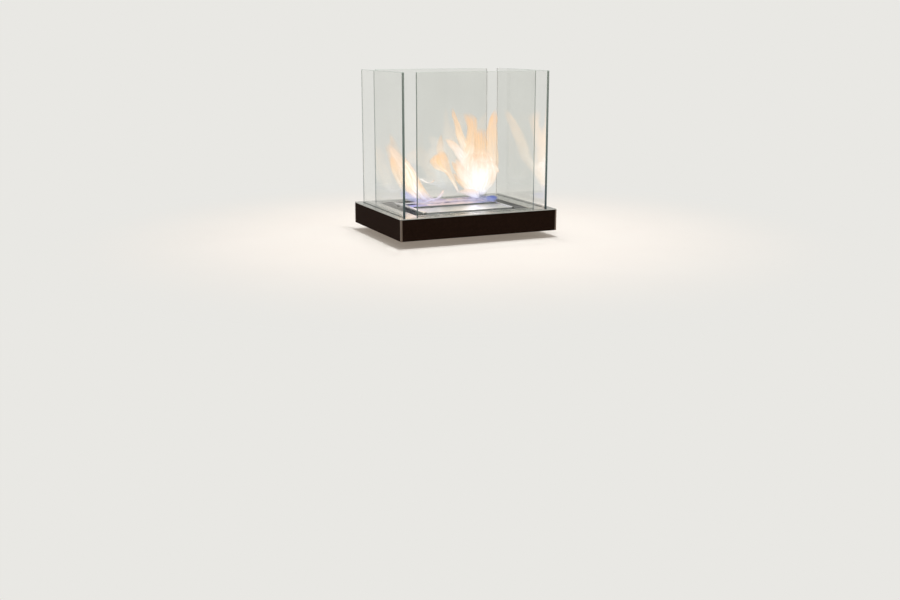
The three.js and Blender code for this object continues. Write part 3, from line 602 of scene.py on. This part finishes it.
# %% Node tree of a tongue
def sheet_tree():
    samples, across_count, along_count = 40, 15, 49
    arc, curls_per_metre = math.radians(150), 34.0
    tree = bpy.data.node_groups.new("flame_sheet", "GeometryNodeTree")
    face = tree.interface
    face.new_socket("Line", in_out="INPUT", socket_type="NodeSocketGeometry")
    for name in ("Bulge", "Waver", "Seed"):
        face.new_socket(name, in_out="INPUT", socket_type="NodeSocketFloat")
    face.new_socket("Finish", in_out="INPUT", socket_type="NodeSocketMaterial")
    face.new_socket("Sheet", in_out="OUTPUT", socket_type="NodeSocketGeometry")
    given = add(tree, "NodeGroupInput").outputs
    curve = add(tree, "GeometryNodeMeshToCurve", {"Mesh": given["Line"]})
    smooth = add(tree, "GeometryNodeCurveSplineType", {
        "Curve": curve.outputs["Curve"]}, spline_type="CATMULL_ROM")
    line = add(tree, "GeometryNodeResampleCurve", {
        "Curve": smooth.outputs["Curve"], "Count": samples})
    grid = add(tree, "GeometryNodeMeshGrid", {
        "Size X": 1.0, "Size Y": 1.0, "Vertices X": across_count, "Vertices Y": along_count})
    at = add(tree, "GeometryNodeInputPosition")
    part = add(tree, "ShaderNodeSeparateXYZ", {"Vector": at.outputs["Position"]})
    climb = add(tree, "ShaderNodeMath", {0: part.outputs["Y"], 1: 0.5}, operation="ADD")
    width = add(tree, "GeometryNodeInputNamedAttribute", {"Name": "half_width"}, data_type="FLOAT")
    on_line = add(tree, "GeometryNodeSampleCurve", {
        "Curves": line.outputs["Curve"], "Value": width.outputs["Attribute"],
        "Factor": climb.outputs["Value"]},
        mode="FACTOR", data_type="FLOAT", use_all_curves=True)
    half = on_line.outputs["Value"]
    angle = add(tree, "ShaderNodeMath", {0: part.outputs["X"], 1: arc}, operation="MULTIPLY")
    sideways = add(tree, "ShaderNodeMath", {0: angle.outputs["Value"]}, operation="SINE")
    forward = add(tree, "ShaderNodeMath", {0: angle.outputs["Value"]}, operation="COSINE")
    bulged = add(tree, "ShaderNodeMath", {
        0: forward.outputs["Value"], 1: given["Bulge"]}, operation="MULTIPLY")
    x = add(tree, "ShaderNodeMath", {0: sideways.outputs["Value"], 1: half}, operation="MULTIPLY")
    y = add(tree, "ShaderNodeMath", {0: bulged.outputs["Value"], 1: half}, operation="MULTIPLY")
    offset = add(tree, "ShaderNodeCombineXYZ", {"X": x.outputs["Value"], "Y": y.outputs["Value"]})
    laid = add(tree, "ShaderNodeVectorMath", {
        0: on_line.outputs["Position"], 1: offset.outputs["Vector"]}, operation="ADD")
    moved = add(tree, "GeometryNodeSetPosition", {
        "Geometry": grid.outputs["Mesh"], "Position": laid.outputs["Vector"]})
    stored = add(tree, "GeometryNodeStoreNamedAttribute", {
        "Geometry": moved.outputs["Geometry"], "Name": "UVMap", "Value": grid.outputs["UV Map"]},
        data_type="FLOAT2", domain="CORNER")
    again = add(tree, "GeometryNodeInputPosition")
    flutter = add(tree, "ShaderNodeTexNoise", {
        "Vector": again.outputs["Position"], "W": given["Seed"], "Scale": curls_per_metre,
        "Detail": 2.0}, noise_dimensions="4D")
    centred = add(tree, "ShaderNodeVectorMath", {
        0: flutter.outputs["Color"], 1: (0.5, 0.5, 0.5)}, operation="SUBTRACT")
    swing = add(tree, "ShaderNodeVectorMath", {
        0: centred.outputs["Vector"], "Scale": given["Waver"]}, operation="SCALE")
    waved = add(tree, "GeometryNodeSetPosition", {
        "Geometry": stored.outputs["Geometry"], "Offset": swing.outputs["Vector"]})
    real = add(tree, "GeometryNodeRealizeInstances", {"Geometry": waved.outputs["Geometry"]})
    painted = add(tree, "GeometryNodeSetMaterial", {
        "Geometry": real.outputs["Geometry"], "Material": given["Finish"]})
    add(tree, "NodeGroupOutput", {"Sheet": painted.outputs["Geometry"]})
    return tree


flame_sheet = sheet_tree()
print("flame_sheet nodes", len(flame_sheet.nodes))

# %% [markdown]
# ## A surface that only glows
# Hot gas reflects nothing, so its shader is black and matt, and all it gives is its own light.
# Alpha says how much of what lies behind it is hidden.

# %% Glowing surface
def glowing(tree, colour, strength, alpha):
    gas = add(tree, "ShaderNodeBsdfPrincipled", {
        "Base Color": linear("#000000"), "Roughness": 1.0, "Specular IOR Level": 0.0,
        "Emission Color": colour, "Emission Strength": strength, "Alpha": alpha})
    add(tree, "ShaderNodeOutputMaterial", {"Surface": gas.outputs["BSDF"]})
    return gas


print("glowing surface ready")

# %% [markdown]
# ## Where a sheet of gas is thick
# Gas thins out towards the borders, the tip and the foot of a sheet, and streaks run up it. Both
# are read from the sheet's own UV map, so they bend with the tongue. A noise about 20 mm across
# frays the borders, because a clean edge would look like cut paper. The result is two numbers from
# 0 to 1: how much gas there is across the sheet, and how much along it.

# %% Thickness of the gas
streak_stretch, streak_scale = (5.0, 1.1, 1.0), 1.6


def gas_thickness(tree, coords, along_x, streak_low, soft):
    ragged, frays_per_metre, tip_fade, foot_fade, streak_shift = 0.5, 52.0, 0.86, 0.12, 30.0
    uv = add(tree, "ShaderNodeSeparateXYZ", {"Vector": coords["UV"]}).outputs
    own = add(tree, "ShaderNodeMath", {0: along_x, 1: streak_shift}, operation="MULTIPLY")
    streaks = add(tree, "ShaderNodeCombineXYZ", {
        "X": uv["X"], "Y": uv["Y"], "Z": own.outputs["Value"]})
    laid = add(tree, "ShaderNodeMapping", {
        "Vector": streaks.outputs["Vector"], "Scale": streak_stretch})
    noise = add(tree, "ShaderNodeTexNoise", {
        "Vector": laid.outputs["Vector"], "Scale": streak_scale, "Detail": 3.0, "Distortion": 0.5})
    from_middle = add(tree, "ShaderNodeMath", {0: uv["X"], 1: 0.5}, operation="SUBTRACT")
    off = add(tree, "ShaderNodeMath", {0: from_middle.outputs["Value"]}, operation="ABSOLUTE")
    lick = add(tree, "ShaderNodeTexNoise", {
        "Vector": coords["Object"], "Scale": frays_per_metre, "Detail": 2.0})
    torn = add(tree, "ShaderNodeMath", {
        0: lick.outputs["Fac"], 1: ragged, 2: off.outputs["Value"]}, operation="MULTIPLY_ADD")
    edge = add(tree, "ShaderNodeMapRange", {
        "Value": torn.outputs["Value"], "From Min": 0.5 + 0.5 * ragged,
        "From Max": soft + 0.5 * ragged}, interpolation_type="SMOOTHSTEP")
    streaky = add(tree, "ShaderNodeMapRange", {
        "Value": noise.outputs["Fac"], "From Min": 0.36, "From Max": 0.6,
        "To Min": streak_low, "To Max": 1.0})
    across = add(tree, "ShaderNodeMath", {
        0: edge.outputs["Result"], 1: streaky.outputs["Result"]}, operation="MULTIPLY")
    top = add(tree, "ShaderNodeMapRange", {
        "Value": uv["Y"], "From Min": 1.0, "From Max": tip_fade}, interpolation_type="SMOOTHSTEP")
    foot = add(tree, "ShaderNodeMapRange", {
        "Value": uv["Y"], "From Min": 0.0, "From Max": foot_fade}, interpolation_type="SMOOTHSTEP")
    along = add(tree, "ShaderNodeMath", {
        0: top.outputs["Result"], 1: foot.outputs["Result"]}, operation="MULTIPLY")
    return uv["Y"], across.outputs["Value"], along.outputs["Value"]


print("streaks stretched", round(streak_stretch[0] / streak_stretch[1], 1), "to 1")

# %% [markdown]
# ## The glow of the gas
# Where the gas is thick and near its foot it is hottest, and a ramp turns that heat into the
# colour, from orange at the borders and the tip to white. Close above the burner no soot glows
# yet, so there the colour turns blue. A real flame is far brighter than the white of a picture,
# and steel and glass mirror that light, so a mirrored ray gets more light from the gas than a
# direct one. The plain strength stays in the socket for programs that know no ray depth.

# %% Material of the gas
blue_gone, blue_full = 0.098, 0.06


def burning_gas(name, heat_stops, strength, cover, streak_low, soft, blue=0.0, mirrored=1.0):
    cools_from, cools_to = 0.25, 0.95
    material, tree = start_material(name)
    coords = add(tree, "ShaderNodeTexCoord").outputs
    spot = add(tree, "ShaderNodeSeparateXYZ", {"Vector": coords["Object"]})
    climb, across, along = gas_thickness(tree, coords, spot.outputs["X"], streak_low, soft)
    body = add(tree, "ShaderNodeMath", {0: across, 1: along}, operation="MULTIPLY")
    alpha = add(tree, "ShaderNodeMath", {0: body.outputs["Value"], 1: cover}, operation="MULTIPLY")
    cooling = add(tree, "ShaderNodeMapRange", {
        "Value": climb, "From Min": cools_from, "From Max": cools_to, "To Min": 1.0, "To Max": 0.1})
    heat = add(tree, "ShaderNodeMath", {
        0: across, 1: cooling.outputs["Result"]}, operation="MULTIPLY")
    colour = add(tree, "ShaderNodeValToRGB", {
        "Fac": heat.outputs["Value"]}, stops=heat_stops).outputs["Color"]
    if blue:
        unburnt = add(tree, "ShaderNodeMapRange", {
            "Value": spot.outputs["Z"], "From Min": blue_gone, "From Max": blue_full,
            "To Max": blue}, interpolation_type="SMOOTHSTEP")
        colour = add(tree, "ShaderNodeMix", {
            0: unburnt.outputs["Result"], "A": colour, "B": linear("#bfc0f4")},
            data_type="RGBA").outputs[2]
    ray = add(tree, "ShaderNodeLightPath")
    glow = add(tree, "ShaderNodeMapRange", {
        "Value": ray.outputs["Glossy Depth"], "To Min": strength, "To Max": strength * mirrored})
    gas = glowing(tree, colour, strength, alpha.outputs["Value"])
    tree.links.new(glow.outputs["Result"], gas.inputs["Emission Strength"])
    return material


print("blue from", blue_gone, "m down to", blue_full, "m above the table")

# %% [markdown]
# ## The gases of this flame
# Each kind of tongue burns a little differently: orange tips, a deeper ember behind the left pane,
# faint wisps, cream and pale sheets round the white core, pink vapour, and two blues at the foot.
# Each row gives the light, where 1 is white, how much of what lies behind is hidden, the weakest
# streak, how far in the border is soft, the share of blue, and the gain of mirrored rays.

# %% Gases
orange = [(0.0, "#fabb7a"), (1.0, "#fff2e2"), (0.3, "#fccb94"), (0.62, "#fddcb6")]
cream = [(0.0, "#fbcfa6"), (1.0, "#ffffff"), (0.25, "#fee8d6"), (0.6, "#fff8f1")]
pale = [(0.0, "#fbcfa6"), (1.0, "#fff6ee"), (0.25, "#fddec3"), (0.6, "#feecde")]
vapour = [(0.0, "#c9bfe8"), (1.0, "#fae2d6"), (0.5, "#ead4de")]
white = [(0.0, "#b9865e"), (1.0, "#ffffff"), (0.4, "#d4b69f"), (0.75, "#ebdfd4")]
deep_blue = [(0.0, "#5c72c8"), (1.0, "#7f8fdc"), (0.5, "#5a70c8")]
pale_blue = [(0.0, "#a9b1ee"), (1.0, "#dcdcf8"), (0.5, "#c2c6f3")]
gases = {kind: burning_gas(*recipe) for kind, recipe in {
    "tip": ("burning_gas_orange", orange, 1.35, 0.52, 0.2, 0.28, 0.8, 1.8),
    "ember": ("burning_gas_deep_orange", orange, 1.35, 0.52, 0.2, 0.28, 0.8, 2.8),
    "wisp": ("burning_gas_faint", orange, 1.3, 0.22, 0.2, 0.05),
    "cream": ("burning_gas_cream", cream, 1.3, 0.76, 0.4, 0.2, 0.8, 2.0),
    "pale": ("burning_gas_pale", pale, 1.25, 0.76, 0.4, 0.2, 0.8, 1.1),
    "vapour": ("burning_vapour_pink", vapour, 1.05, 0.8, 0.5, 0.1),
    "core": ("burning_gas_white", white, 2.0, 0.5, 0.1, 0.1, 0.85, 3.2),
    "deep": ("burning_gas_deep_blue", deep_blue, 0.9, 0.85, 0.8, 0.02),
    "blue": ("burning_gas_blue", pale_blue, 1.0, 0.42, 0.5, 0.05),
}.items()}
print("gases", sorted(gases))

# %% [markdown]
# ## From rows of numbers to a mesh
# The rows become a mesh of loose edges that carries the half width, and the node tree is put on it
# as a modifier. The result is copied to a plain mesh, because a finished piece stands for itself.

# %% Sweep a sheet
def line_mesh(name, rows):
    mesh = bpy.data.meshes.new(name)
    points = [Vector(row[:3]) / 1000 for row in rows]
    mesh.from_pydata(points, [(i, i + 1) for i in range(len(rows) - 1)], [])
    widths = mesh.attributes.new("half_width", "FLOAT", "POINT")
    for i, row in enumerate(rows):
        widths.data[i].value = row[3] / 2000
    return mesh


def apply_tree(mesh, tree, values):
    holder = bpy.data.objects.new("holder", mesh)
    bpy.context.scene.collection.objects.link(holder)
    modifier = holder.modifiers.new("nodes", "NODES")
    modifier.node_group = tree
    for item in tree.interface.items_tree:
        if item.in_out == "INPUT" and item.name in values:
            modifier[item.identifier] = values[item.name]
    bpy.context.view_layer.update()
    view = bpy.context.evaluated_depsgraph_get()
    made = bpy.data.meshes.new_from_object(holder.evaluated_get(view), depsgraph=view)
    holder.modifiers.remove(modifier)
    bpy.data.objects.remove(holder)
    return made


print("inputs", [item.name for item in flame_sheet.interface.items_tree])

# %% [markdown]
# ## Riding on the burner
# The flame goes where the burner goes, so each of its pieces rides on the burner's body.

# %% Ride on a body
def add_piece(name, mesh, body):
    mesh.name = name
    piece = bpy.data.objects.new(name, mesh)
    bpy.context.scene.collection.objects.link(piece)
    for face in mesh.polygons:
        face.use_smooth = True
    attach(piece, body)
    return piece


# %% [markdown]
# ## Where a tongue would fold
# A flame can't follow the snuffer plate: it would sink into the tank as the plate covers the
# opening, each sheet flattened along one direction. Straight down would leave the tips of leaning
# tongues outside, and along the tongue would leave the bulge of bent ones above the plate. So many
# leanings are tried on each sheet, and the one that would fold it best inside the tank's walls is
# found; the fold itself is not made here. What ends above the tank counts six times as much as
# what ends beside it, because it would show.

# %% Best leaning inside the tank
folded_share = 0.01
wall_gap, floor_gap = 0.003, 0.002
steepest, step = 60, 10
upward_weight = np.array([1.0, 1.0, 6.0])
tank_low, tank_high = (np.array(corner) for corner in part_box("fuel_tank"))
room_low = tank_low + np.array([wall_gap, wall_gap, floor_gap])
room_high = tank_high - np.array([wall_gap, wall_gap, floor_gap])
degrees = range(-steepest, steepest + 1, step)
leanings = [
    np.array(Vector((math.tan(math.radians(a)), math.tan(math.radians(b)), 1.0)).normalized())
    for a in degrees for b in degrees]
leanings.sort(key=lambda leaning: -leaning[2])


def spill(points, axis, anchor):
    folded = points - np.outer((points - anchor) @ axis, axis) * (1 - folded_share)
    return max((room_low - folded).max(), ((folded - room_high) * upward_weight).max(), 0.0)


def best_fold(mesh, foot):
    points = np.empty(3 * len(mesh.vertices))
    mesh.vertices.foreach_get("co", points)
    points = points.reshape(-1, 3)
    anchor = np.array([foot.x, foot.y, (tank_low[2] + tank_high[2]) / 2])
    axis = min(leanings, key=lambda leaning: spill(points, leaning, anchor))
    return axis, anchor, spill(points, axis, anchor)


print("leanings", len(leanings), "room", room_low.round(4), room_high.round(4))

# %% [markdown]
# ## Two sheets for each tongue
# One sheet would vanish when it is seen edge on. Two that bulge to opposite sides give a tongue
# its depth from every side. Each tongue has its own seed, so no two waver alike. How far each
# sheet would still reach past the tank's room, which ends just inside its walls, once folded, is
# printed.

# %% Make the tongues
bulge_share, waver, seed_step, worth_telling = 0.45, 0.004, 3.7, 0.0005
spills = {}
for count, (name, (gas, rows)) in enumerate(tongues.items()):
    for side, bulge in (("near", -bulge_share), ("far", bulge_share)):
        values = {"Bulge": bulge, "Waver": waver, "Seed": count * seed_step, "Finish": gases[gas]}
        sheet = apply_tree(line_mesh(name, rows), flame_sheet, values)
        piece = add_piece(f"flame_{name}_{side}", sheet, "burner")
        axis, anchor, spills[piece.name] = best_fold(sheet, Vector(rows[0][:3]) / 1000)
        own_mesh(piece)
past_room = {name: round(1000 * far, 1) for name, far in spills.items() if far > worth_telling}
print("flame pieces", 2 * len(tongues), "reach past the room in mm", past_room)

# %% [markdown]
# ## The colours of the blue carpet
# Vapour burns violet and blue just above the wick, all over the opening, with a pink cloud in the
# middle where it is richest. The colour runs from left to right through a ramp, and a noise of 32
# mm swirls it.

# %% Gas of the carpet
def carpet_gas():
    cloud_mm, swirl, left, right = 32, 0.06, -0.06, 0.12
    material, tree = start_material("burning_vapour_violet")
    place = add(tree, "ShaderNodeTexCoord").outputs["Object"]
    spot = add(tree, "ShaderNodeSeparateXYZ", {"Vector": place})
    cloud = add(tree, "ShaderNodeTexNoise", {
        "Vector": place, "Scale": 1000 / cloud_mm, "Detail": 3.0, "Distortion": 1.0})
    swirled = add(tree, "ShaderNodeMath", {
        0: cloud.outputs["Fac"], 1: swirl, 2: spot.outputs["X"]}, operation="MULTIPLY_ADD")
    across = add(tree, "ShaderNodeMapRange", {
        "Value": swirled.outputs["Value"], "From Min": left, "From Max": right})
    colour = add(tree, "ShaderNodeValToRGB", {"Fac": across.outputs["Result"]}, stops=[
        (0.0, "#b3b3f2"), (1.0, "#aab4ec"), (0.28, "#dccdea"), (0.52, "#f8dccf"),
        (0.74, "#e4d3e8"), (0.88, "#c6c4f2")])
    cover = add(tree, "ShaderNodeMapRange", {
        "Value": cloud.outputs["Fac"], "From Min": 0.3, "From Max": 0.7,
        "To Min": 0.7, "To Max": 0.95})
    glowing(tree, colour.outputs["Color"], 1.1, cover.outputs["Result"])
    return material


violet_gas = carpet_gas()
print("carpet wears", violet_gas.name)

# %% [markdown]
# ## The blue carpet in the opening
# The carpet is a low sheet inside the opening, below the snuffer plate's path, so a closed plate
# hides it as it would put it out. It is a grid with shallow waves, a little higher in the middle.

# %% Blue carpet
def carpet_mesh(material, columns=44, rows=16):
    edge_gap, height, wave = 0.0015, 0.0565, 0.0008
    half_x, half_y = opening_half[0] - edge_gap, opening_half[1] - edge_gap
    points = []
    for j in range(rows + 1):
        for i in range(columns + 1):
            u, v = 2 * i / columns - 1, 2 * j / rows - 1
            lift = wave * math.sin(7 * u + 2 * v) * math.cos(4 * v)
            lift += wave * (1 - u * u) * (1 - v * v)
            points.append((half_x * u, opening_middle.y + half_y * v, height + lift))
    wide = columns + 1
    faces = [(j * wide + i, j * wide + i + 1, (j + 1) * wide + i + 1, (j + 1) * wide + i)
             for j in range(rows) for i in range(columns)]
    mesh = bpy.data.meshes.new("flame_carpet")
    mesh.from_pydata(points, [], faces)
    mesh.materials.append(material)
    return mesh


carpet = add_piece("flame_carpet", carpet_mesh(violet_gas), "burner")
print("carpet faces", len(carpet.data.polygons))

# %% [markdown]
# ## A backdrop for the eye only
# The background shows one pale tone, which shouldn't light the object. So rays that the camera
# sees, directly, in a mirror or through glass, get the tone, and all others get the plain light of
# the studio. The light path says which ray is which.

# %% Rays that see the backdrop
wall_tone = linear("#e9e8e4")


def seen_by_eye(tree):
    ray = add(tree, "ShaderNodeLightPath").outputs
    seen = add(tree, "ShaderNodeMath", {
        0: ray["Is Camera Ray"], 1: ray["Is Glossy Ray"]}, operation="ADD")
    return add(tree, "ShaderNodeMath", {
        0: seen.outputs["Value"], 1: ray["Is Transmission Ray"]},
        operation="ADD", use_clamp=True).outputs["Value"]


print("backdrop", [round(part, 3) for part in wall_tone])

# %% [markdown]
# ## The floor
# Near the object the floor is a matt painted surface that takes shadows. Further out it fades into
# the tone of the backdrop, so no horizon shows. The paint is slightly mottled, as a rolled coat
# is, and gives off a little light of its own, which softens the shadow.

# %% Floor
def studio_floor():
    matt_until, plain_from = 0.3, 0.85
    material, tree = start_material("floor_painted_matt")
    place = add(tree, "ShaderNodeTexCoord").outputs["Object"]
    spot = add(tree, "ShaderNodeSeparateXYZ", {"Vector": place})
    flat = add(tree, "ShaderNodeCombineXYZ", {"X": spot.outputs["X"], "Y": spot.outputs["Y"]})
    away = add(tree, "ShaderNodeVectorMath", {0: flat.outputs["Vector"]}, operation="LENGTH")
    far = add(tree, "ShaderNodeMapRange", {
        "Value": away.outputs["Value"], "From Min": matt_until, "From Max": plain_from},
        interpolation_type="SMOOTHSTEP")
    mottle = add(tree, "ShaderNodeTexNoise", {"Vector": place, "Scale": 5.0, "Detail": 2.0})
    tone = add(tree, "ShaderNodeValToRGB", {"Fac": mottle.outputs["Fac"]}, stops=[
        (0.35, "#e2dfdb"), (0.65, "#e4e1dd")])
    paint = add(tree, "ShaderNodeBsdfPrincipled", {
        "Base Color": tone.outputs["Color"], "Roughness": 0.8, "Specular IOR Level": 0.2,
        "Emission Color": linear("#867c71"), "Emission Strength": 1.0})
    plain = add(tree, "ShaderNodeBsdfDiffuse", {"Color": wall_tone})
    shown = add(tree, "ShaderNodeEmission", {"Color": wall_tone, "Strength": 1.0})
    backdrop = add(tree, "ShaderNodeMixShader", {
        0: seen_by_eye(tree), 1: plain.outputs["BSDF"], 2: shown.outputs["Emission"]})
    whole = add(tree, "ShaderNodeMixShader", {
        0: far.outputs["Result"], 1: paint.outputs["BSDF"], 2: backdrop.outputs["Shader"]})
    add(tree, "ShaderNodeOutputMaterial", {"Surface": whole.outputs["Shader"]})
    return material


floor_radius, floor_corners = 8, 64
floor_mesh = bpy.data.meshes.new("studio_floor")
turns = [2 * math.pi * i / floor_corners for i in range(floor_corners)]
ring = [(floor_radius * math.cos(a), floor_radius * math.sin(a), 0.0) for a in turns]
floor_mesh.from_pydata(ring, [], [tuple(range(floor_corners))])
floor_mesh.materials.append(studio_floor())
floor = bpy.data.objects.new("studio_floor", floor_mesh)
bpy.context.scene.collection.objects.link(floor)
print("floor", 2 * floor_radius, "m across")

# %% [markdown]
# ## Even light from all round
# The world fills the shadows evenly, as white walls would. It is weak, so that the lamps overhead
# still shape the object.

# %% World
fill_strength = 0.24
world = bpy.data.worlds.new("studio")
bpy.context.scene.world = world
world.use_nodes = True
world.node_tree.nodes.clear()
sky = world.node_tree
fill = add(sky, "ShaderNodeBackground", {"Color": (1, 1, 1, 1), "Strength": fill_strength})
shown = add(sky, "ShaderNodeBackground", {"Color": wall_tone, "Strength": 1.0})
both = add(sky, "ShaderNodeMixShader", {
    0: seen_by_eye(sky), 1: fill.outputs["Background"], 2: shown.outputs["Background"]})
add(sky, "ShaderNodeOutputWorld", {"Surface": both.outputs["Shader"]})
print("fill", fill_strength)

# %% [markdown]
# ## Two lamps overhead
# A stronger lamp hangs a little in front of the object and a weaker one a little behind it, both
# about two metres up, so the shadow falls straight below the floating tray. They are 140 mm wide,
# which keeps the shadow's border soft but lets it be seen.

# %% Lamps
lamp_size = 0.14
for name, spot, power in (("key_softbox", (-0.02, -0.22, 2.2), 24),
                          ("rear_softbox", (0.12, 0.3, 2.2), 11)):
    lamp = bpy.data.lights.new(name, "AREA")
    lamp.size, lamp.energy = lamp_size, power
    overhead = bpy.data.objects.new(name, lamp)
    bpy.context.scene.collection.objects.link(overhead)
    overhead.location = spot
    print(name, power, "W")

# %% [markdown]
# ## Camera
# The view of the photograph was worked out from the edges of the tray and the panes: a camera that
# stands upright a bit over two metres away, 24 degrees to the left of the front, and looks 13
# degrees down.

# %% Camera
turn, down = math.radians(24.14), math.radians(13.34)
lens = bpy.data.cameras.new("camera")
lens.lens, lens.sensor_width = 43.95, 36.0
camera = bpy.data.objects.new("camera", lens)
bpy.context.scene.collection.objects.link(camera)
camera.location = (-0.9582, -2.1191, 0.4035)
camera.rotation_euler = (math.pi / 2 - down, 0, -turn)
bpy.context.scene.camera = camera
bpy.context.scene.view_settings.view_transform = "Standard"
print("camera", round(math.hypot(*camera.location[:2]), 2), "m away, lens", lens.lens, "mm")

# %% [markdown]
# ## Sizes and finish
# The box of the CAD model was kept at the start, and it is written down here.

# %% Sizes and finish
print("cad", [list(corner) for corner in cad_box])
